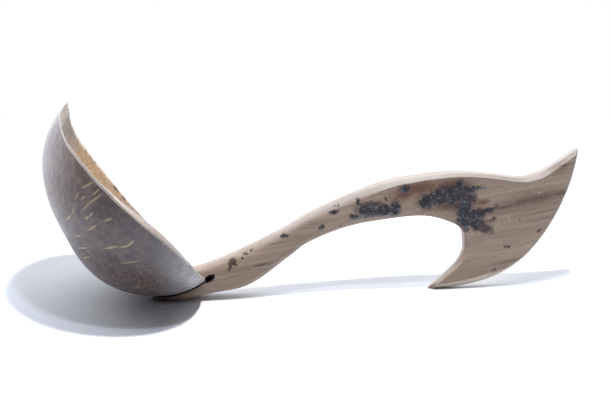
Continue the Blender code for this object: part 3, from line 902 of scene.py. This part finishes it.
# Marks on the near side: along X, height, half length, half width and tilt in degrees
CHARRED = (
    (-14.8, 27.6, 1.2, 0.9, 8.0),
    (2.0, 31.0, 1.1, 0.8, 5.0),
    (8.0, 38.0, 1.8, 0.8, 18.0),
    (8.0, 41.0, 0.7, 0.4, 0.0),
    (10.0, 41.0, 0.6, 0.4, 0.0),
    (17.0, 35.8, 1.6, 1.0, 0.0),
    (19.0, 41.7, 0.8, 1.4, -10.0),
    (22.8, 38.0, 4.0, 2.2, -5.0),
    (25.0, 39.7, 1.5, 1.5, 0.0),
    (27.7, 36.7, 4.6, 0.9, 8.0),
    (30.4, 38.3, 2.7, 1.9, 20.0),
    (33.0, 37.1, 3.6, 1.0, 10.0),
    (35.5, 38.8, 2.1, 3.0, 8.0),
    (40.0, 47.2, 1.9, 1.6, 20.0),
    (50.0, 41.0, 3.6, 2.8, 0.0),
    (56.0, 42.8, 4.6, 3.2, 0.0),
    (62.5, 43.0, 5.0, 3.6, 0.0),
    (65.5, 47.0, 2.0, 2.8, 0.0),
    (67.5, 43.5, 3.6, 3.6, 0.0),
    (71.5, 46.0, 3.4, 1.2, 8.0),
    (67.5, 36.5, 3.4, 5.8, 0.0),
    (67.0, 31.0, 3.0, 3.0, 0.0),
    (72.0, 33.8, 3.0, 2.0, 18.0),
    (77.0, 35.4, 3.2, 1.0, 20.0),
    (72.5, 29.6, 2.6, 1.8, -12.0),
    (68.3, 26.6, 1.5, 1.1, 0.0),
)
SMOKED = (
    (74.0, 34.2, 4.8, 2.4, 18.0),
    (80.0, 36.4, 3.6, 1.3, 20.0),
    (74.0, 29.4, 4.2, 3.0, -12.0),
    (77.5, 27.2, 3.8, 2.4, -15.0),
    (81.2, 32.2, 1.1, 1.0, 0.0),
    (60.0, 46.6, 4.5, 1.6, 0.0),
    (71.0, 41.0, 3.0, 2.4, 0.0),
    (25.0, 40.4, 5.0, 1.4, 5.0),
)
SCORCHED = (
    (-39.9, 15.0, 2.5, 1.0, 75.0),
    (-38.3, 17.0, 2.0, 1.5, 25.0),
    (-37.2, 16.2, 1.5, 0.9, -65.0),
    (-33.8, 17.8, 0.7, 0.5, 0.0),
    (-32.5, 19.5, 1.2, 0.4, 3.0),
    (-29.6, 21.4, 0.6, 0.7, 0.0),
    (-25.7, 24.3, 0.9, 0.4, 15.0),
    (-4.0, 35.5, 0.6, 0.4, 0.0),
    (10.9, 31.1, 0.8, 0.5, 0.0),
    (31.8, 42.6, 0.9, 0.8, 0.0),
    (88.0, 18.4, 2.0, 0.6, 3.0),
    (81.3, 7.6, 0.9, 0.5, 10.0),
    (93.3, 31.1, 0.7, 0.7, 0.0),
    (102.5, 25.2, 1.4, 0.5, 10.0),
)
SOOTED = (
    (18.5, 34.7, 3.6, 1.3, 3.0),
    (25.5, 35.3, 5.0, 1.3, 8.0),
    (33.5, 36.1, 5.0, 1.3, 8.0),
    (50.0, 40.0, 3.0, 1.6, 0.0),
    (68.0, 38.0, 2.2, 1.0, 15.0),
    (74.5, 45.4, 3.6, 0.7, 5.0),
)
RUDDY = (
    (46.0, 47.0, 12.0, 3.2, 9.0),
    (61.0, 48.2, 9.0, 3.0, 3.0),
    (40.0, 44.5, 5.0, 2.6, 12.0),
    (60.0, 38.0, 7.0, 2.0, 0.0),
    (76.0, 39.5, 3.4, 1.2, 12.0),
    (80.0, 31.0, 2.6, 0.9, 14.0),
)
STREAKED = (
    (86.0, 36.6, 7.0, 1.2, 15.0),
    (94.0, 38.7, 8.0, 1.7, 13.0),
    (103.0, 40.6, 9.0, 2.0, 11.0),
    (112.0, 42.2, 6.0, 1.4, 9.0),
    (-25.0, 14.8, 5.0, 0.7, 8.0),
    (114.0, 54.8, 2.4, 0.4, 10.0),
)
FLECKED = (
    (88.5, 31.4, 0.6, 0.5, 0.0),
    (102.4, 42.8, 0.8, 0.4, 5.0),
    (103.5, 29.7, 0.7, 0.3, 5.0),
    (67.7, 40.0, 0.4, 0.25, 0.0),
    (72.7, 46.6, 0.4, 0.3, 0.0),
)
TANNED = (
    (99.0, 40.0, 20.0, 7.0, 12.0),
    (92.0, 12.0, 10.0, 1.2, 11.0),
    (-34.0, 12.6, 9.0, 1.6, 10.0),
    (112.0, 53.0, 5.0, 2.4, 12.0),
)
MARK_REACH = 400.0
MARK_WARP = (0.0040, 0.0, 0.0040)
FAR_SHIFT = (-0.021, 0.0, -0.005)
# Look of each kind of mark: how roughly its border is broken up, how far out in half sizes it is
# full and where it ends, and how strong it is
TANNED_LOOK = (0.8, 0.10, 1.30, 0.45)
RUDDY_LOOK = (0.9, 0.20, 1.60, 0.95)
STREAKED_LOOK = (1.0, 0.20, 1.50, 0.90)
SCORCHED_LOOK = (0.8, 0.65, 1.25, 0.92)
SOOTED_LOOK = (1.2, 0.60, 1.30, 0.85)
CHARRED_LOOK = (1.5, 0.80, 1.25, 0.97)
SINGED_LOOK = (1.0, 1.00, 1.90, 0.60)
SMOKED_LOOK = (1.0, 0.45, 1.50, 0.95)
FLECKED_LOOK = (0.5, 0.70, 1.10, 0.90)

WOOD_PALE = (0.620, 0.480, 0.380)
WOOD_BROWN = (0.380, 0.274, 0.206)
WOOD_DARK = (0.105, 0.068, 0.054)
WOOD_TAN = (0.225, 0.150, 0.105)
WOOD_RED = (0.165, 0.080, 0.050)
WOOD_CREAM_FLECK_AND_HIGHLIGHT = (0.57, 0.535, 0.50)
HOOK_BOUNCE_LIGHT = (0.95, 0.84, 0.70)
CHAR_AND_SHADE_BLACK = (0.009, 0.010, 0.016)
CHAR_PURPLE = (0.044, 0.031, 0.042)
SMOKE_PURPLE = (0.058, 0.034, 0.040)
SINGE_BROWN = (0.130, 0.078, 0.066)
SCORCH_BROWN = (0.070, 0.040, 0.034)
SOOT_BLUE_AND_GLINT = (0.185, 0.208, 0.240)
GRAIN_TILT = math.radians(-9.0)
# Clouds of each kind: scale, detail, roughness and distortion
DRIFT = ((14.0, 60.0, 60.0), 2.0)
BANDS = ((9.0, 120.0, 190.0), 3.0, 0.5, 0.6)
LINES = ((30.0, 620.0, 1000.0), 4.0, 0.65, 0.3)
PORES = ((150.0, 2600.0, 2600.0), 2.0, 0.5)
MOTTLE = (700.0, 4.0, 0.65)
CRACKLE = (950.0, 3.0, 0.7)
TONE = (170.0, 2.0, 0.5)
FLAKES = (560.0, 3.0, 0.75)
WANDER_SCALE = 330.0
DRIFT_SHARE = 0.35
PORE_SHARE = 0.40
TONE_SHARE = 0.6
TORN_ROUGHLY = 1.4
WOOD_ROUGH = 0.42
LINE_ROUGH = 0.15
BARE_ROUGH = 0.5
LINE_RELIEF = 0.5
PORE_RELIEF = -0.6
CRUST_SHARE = 0.5
# How each tone fades, as on the shell
WOOD_PORES = (0.60, 0.70)
CREAM_UP = (0.30, 0.80, 0.0, 0.60)
CREAM_FLAT = (0.80, 0.97, 0.0, 0.35)
CREAM_ALONG = (-0.045, 0.005, 0.35, 1.0)
CREAM_TIP = (0.20, 0.65, 0.0, 0.55)
FLAT_TOP_SHADE = (0.85, 0.98, 0.0, 0.45)
UNDER_SHADE_FACING = (-0.70, -0.30, 0.95, 0.0)
UNDER_SHADE_ALONG = (-0.030, 0.005)
FAR_SIDE = (0.55, 0.80)
NEAR_SIDE = (-0.80, -0.55, 1.0, 0.0)
HOOK_UNDER = (-0.42, -0.24, 0.85, 0.0)
HOOK_ALONG = (0.040, 0.050)
HOOK_LOW = (0.006, 0.014, 1.0, 0.0)
STREAK_LINES = (0.40, 0.62, 1.0, 0.45)
TORN_EDGE = (1.10, 1.35, 0.97, 0.0)
SLOT_SHADE_REACH = (1.15, 1.5)
SLOT_SHADE_SHARE = 0.95
SLOT_SHADE_LOW = (0.0088, 0.0100, 1.0, 0.0)
TONGUE_SHADE = (-0.071, -0.053, 0.95, 0.0)


def side_marks(rows):
    """Each row as an oval that lies flat on the handle's sides and reaches through from side to
    side: its middle, its turn about the crosswise axis, and its half sizes."""
    return [
        ((x, 0.0, z), (0.0, -math.radians(tilt), 0.0), (long, MARK_REACH, wide))
        for x, z, long, wide, tilt in rows
    ]


grain = bpy.data.node_groups.new("wood_grain", "ShaderNodeTree")
grain.interface.new_socket("Place", in_out="INPUT", socket_type="NodeSocketVector")
for name in ("Bands", "Lines", "Pores"):
    grain.interface.new_socket(name, in_out="OUTPUT", socket_type="NodeSocketFloat")
entry = grain.nodes.new("NodeGroupInput").outputs["Place"]
leave = grain.nodes.new("NodeGroupOutput")
drift = noise(grain, entry, *DRIFT)
bands = noise(grain, entry, *BANDS)
lines = noise(grain, entry, *LINES)
pores = noise(grain, entry, *PORES)
bands = plus(grain, product(grain, bands, 1.0 - DRIFT_SHARE), drift, DRIFT_SHARE)
pores = step_up(grain, pores, *WOOD_PORES)
plug(grain, leave, {"Bands": bands, "Lines": lines, "Pores": pores})


def wood_grain(tree, spot, tilt):
    """The bands, lines and pores of wood with its grain tilted about the crosswise axis."""
    turn = {"Vector": spot, "Rotation": (0.0, tilt, 0.0)}
    along = add(tree, "ShaderNodeMapping", turn).outputs[0]
    return add(tree, "ShaderNodeGroup", {"Place": along}, node_tree=grain).outputs


material, tree, shader, spot = bare_material("carved_hardwood")
handle.data.materials.clear()
handle.data.materials.append(material)
bands, lines, pores = wood_grain(tree, spot, -GRAIN_TILT)
mottle = noise(tree, spot, *MOTTLE)
colour = layered(tree, WOOD_BROWN, (
    (bands, (0.30, 0.68), WOOD_PALE),
    (lines, (0.42, 0.68, 0.40, 0.0), WOOD_BROWN),
    (lines, (0.33, 0.46, 0.30, 0.0), WOOD_DARK),
    (mottle, (0.36, 0.52, 0.28, 0.0), WOOD_BROWN),
))
colour = between(tree, product(tree, pores, PORE_SHARE), colour, WOOD_DARK)

# Painted light: edges facing up or towards the tail are painted cream as highlights, and so is the
# hook's lower bevel
faced = split(tree, add(tree, "ShaderNodeNewGeometry").outputs["Normal"])
parted = split(tree, spot)
edge_highlight = step_up(tree, faced["Z"], *CREAM_UP)
edge_highlight = sum_of(tree, "SUBTRACT", edge_highlight, step_up(tree, faced["Z"], *CREAM_FLAT))
edge_highlight = faded(tree, edge_highlight, parted["X"], CREAM_ALONG)
edge_highlight = sum_of(tree, "MAXIMUM", edge_highlight, step_up(tree, faced["X"], *CREAM_TIP))
colour = between(tree, edge_highlight, colour, WOOD_CREAM_FLECK_AND_HIGHLIGHT)
# Painted shade: the flat top is darkened towards brown
colour = between(tree, step_up(tree, faced["Z"], *FLAT_TOP_SHADE), colour, WOOD_BROWN)
# Painted shade: faces turned downwards on the arch and tail are darkened towards brown
shaded = faded(tree, step_up(tree, faced["Z"], *UNDER_SHADE_FACING), parted["X"], UNDER_SHADE_ALONG)
colour = between(tree, shaded, colour, WOOD_BROWN)
far = step_up(tree, faced["Y"], *FAR_SIDE)
beside = sum_of(tree, "ADD", far, step_up(tree, faced["Y"], *NEAR_SIDE))
# Painted light: the hook's lower bevel is painted cream as light thrown up from the table
lit_hook_bevel = faded(tree, beside, faced["Z"], HOOK_UNDER)
lit_hook_bevel = faded(tree, lit_hook_bevel, parted["X"], HOOK_ALONG)
lit_hook_bevel = faded(tree, lit_hook_bevel, parted["Z"], HOOK_LOW)
colour = between(tree, lit_hook_bevel, colour, HOOK_BOUNCE_LIGHT)

# The marks' places: warped for ragged ones, steady for smooth ones, and shifted on the far side
wander = {"Vector": spot, "Scale": WANDER_SCALE, "Detail": 3.0}
wander = add(tree, "ShaderNodeTexNoise", wander).outputs["Color"]
wander = vector_sum(tree, "SUBTRACT", wander, (0.5, 0.5, 0.5))
warped = vector_sum(tree, "MULTIPLY_ADD", wander, MARK_WARP, spot)
shift = {0: FAR_SHIFT, "Scale": far}
shift = add(tree, "ShaderNodeVectorMath", shift, operation="SCALE").outputs[0]
marked = vector_sum(tree, "ADD", warped, shift)
steady = vector_sum(tree, "ADD", spot, shift)
crackle = noise(tree, spot, *CRACKLE)
broken = nudged(tree, sum_of(tree, "SUBTRACT", mottle, 0.5), crackle, 0.6)


def painted(tree, away, roughly, inner, outer, most):
    """How strongly marks at these distances show on the handle's sides: most within the inner share
    of a mark's size, nothing beyond the outer share, with the border broken up roughly."""
    away = plus(tree, away, broken, roughly)
    return product(tree, beside, step_up(tree, away, inner, outer, most, 0.0))


def stained(tree, colour, place, rows, look, paint):
    """The colour with one kind of mark laid over it, each where its row says, in its paint."""
    away = nearest_mark(tree, place, side_marks(rows))
    return between(tree, painted(tree, away, *look), colour, paint)


colour = stained(tree, colour, steady, TANNED, TANNED_LOOK, WOOD_TAN)
colour = stained(tree, colour, steady, RUDDY, RUDDY_LOOK, WOOD_RED)
streaks = painted(tree, nearest_mark(tree, steady, side_marks(STREAKED)), *STREAKED_LOOK)
streaks = faded(tree, streaks, lines, STREAK_LINES)
colour = between(tree, streaks, colour, WOOD_DARK)
colour = stained(tree, colour, marked, SCORCHED, SCORCHED_LOOK, SCORCH_BROWN)
colour = stained(tree, colour, marked, SOOTED, SOOTED_LOOK, SOOT_BLUE_AND_GLINT)
burns = nearest_mark(tree, marked, side_marks(CHARRED))
colour = between(tree, painted(tree, burns, *SINGED_LOOK), colour, SINGE_BROWN)
colour = stained(tree, colour, marked, SMOKED, SMOKED_LOOK, SMOKE_PURPLE)
# Painted shade: the tongue's end under the bowl is darkened and made rougher
tongue_shade = step_up(tree, parted["X"], *TONGUE_SHADE)
colour = between(tree, tongue_shade, colour, WOOD_DARK)

# The torn hole and the sawn slot's edge are painted black as char and shade, as black as the burns,
# which glint where the char flakes
hole_middle = (HOLE_PLACE[0], 0.0, HOLE_PLACE[1])
hole_half = (HOLE_RADIUS[0], MARK_REACH, HOLE_RADIUS[1])
torn_and_shaded = nearest_mark(tree, spot, [(hole_middle, (0.0, -HOLE_TURN, 0.0), hole_half)])
torn_and_shaded = step_up(tree, plus(tree, torn_and_shaded, broken, TORN_ROUGHLY), *TORN_EDGE)
# Painted shade: the wood close to the shell, low down by the slot, is painted black
shell_turn = Matrix(shell_axes.T.tolist()).to_euler()
shell_half = (SHELL_RADIUS, SHELL_RADIUS, SHELL_DEPTH)
wall = nearest_mark(tree, spot, [(SHELL_CENTRE, shell_turn, shell_half)])
slot_shade = (1.0 + reach / SHELL_RADIUS for reach in SLOT_SHADE_REACH)
slot_shade = step_up(tree, wall, *slot_shade, SLOT_SHADE_SHARE, 0.0)
slot_shade = faded(tree, slot_shade, parted["Z"], SLOT_SHADE_LOW)
torn_and_shaded = sum_of(tree, "MAXIMUM", torn_and_shaded, slot_shade)
charred = sum_of(tree, "MAXIMUM", painted(tree, burns, *CHARRED_LOOK), torn_and_shaded)
tone = noise(tree, spot, *TONE)
tone = plus(tree, product(tree, mottle, 1.0 - TONE_SHARE), tone, TONE_SHARE)
glint_flakes = noise(tree, spot, *FLAKES)
# Painted glints: blue-grey flecks on the char's crust
burnt = layered(tree, CHAR_AND_SHADE_BLACK, (
    (tone, (0.44, 0.60), CHAR_PURPLE),
    (glint_flakes, (0.52, 0.64, 0.0, 0.72), SOOT_BLUE_AND_GLINT),
))
burnt = between(tree, torn_and_shaded, burnt, CHAR_AND_SHADE_BLACK)
colour = between(tree, charred, colour, burnt)
colour = stained(tree, colour, steady, FLECKED, FLECKED_LOOK, WOOD_CREAM_FLECK_AND_HIGHLIGHT)
rough = plus(tree, WOOD_ROUGH, lines, LINE_ROUGH)
rough = plus(tree, rough, sum_of(tree, "MAXIMUM", torn_and_shaded, tongue_shade), BARE_ROUGH)
relief = plus(tree, product(tree, lines, LINE_RELIEF), pores, PORE_RELIEF)
bump = {"Strength": 0.4, "Distance": 0.0003, "Height": relief}
bump = add(tree, "ShaderNodeBump", bump).outputs[0]
crust = product(tree, charred, CRUST_SHARE)
bump = {"Strength": crust, "Distance": 0.0004, "Height": crackle, "Normal": bump}
bump = add(tree, "ShaderNodeBump", bump).outputs[0]
plug(tree, shader, {"Base Color": colour, "Roughness": rough, "Normal": bump})
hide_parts("carved_handle")
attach(handle, "root")


# Pegs: two round hardwood pins driven through jaw, shell and tongue and cut off flush.  Their
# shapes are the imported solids; the finish shows pale wood with its grain along the pin.
PEG_PALE = (0.50, 0.36, 0.20)
PEG_BROWN = (0.30, 0.19, 0.10)
PEG_LEAN = math.radians(75.0)
PEG_LINES = (0.35, 0.65)
PEG_PORE_SHARE = 0.5
PEG_ROUGH = 0.6
material, tree, shader, spot = bare_material("peg_wood_grain")
_, lines, pores = wood_grain(tree, spot, PEG_LEAN)
colour = between(tree, step_up(tree, lines, *PEG_LINES), PEG_BROWN, PEG_PALE)
colour = between(tree, product(tree, pores, PEG_PORE_SHARE), colour, PEG_BROWN)
bump = {"Strength": 0.3, "Distance": 0.0002, "Height": lines}
bump = add(tree, "ShaderNodeBump", bump).outputs[0]
plug(tree, shader, {"Base Color": colour, "Roughness": PEG_ROUGH, "Normal": bump})
for name in ("peg_front", "peg_rear"):
    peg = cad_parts[name]
    peg.data.materials.clear()
    peg.data.materials.append(material)
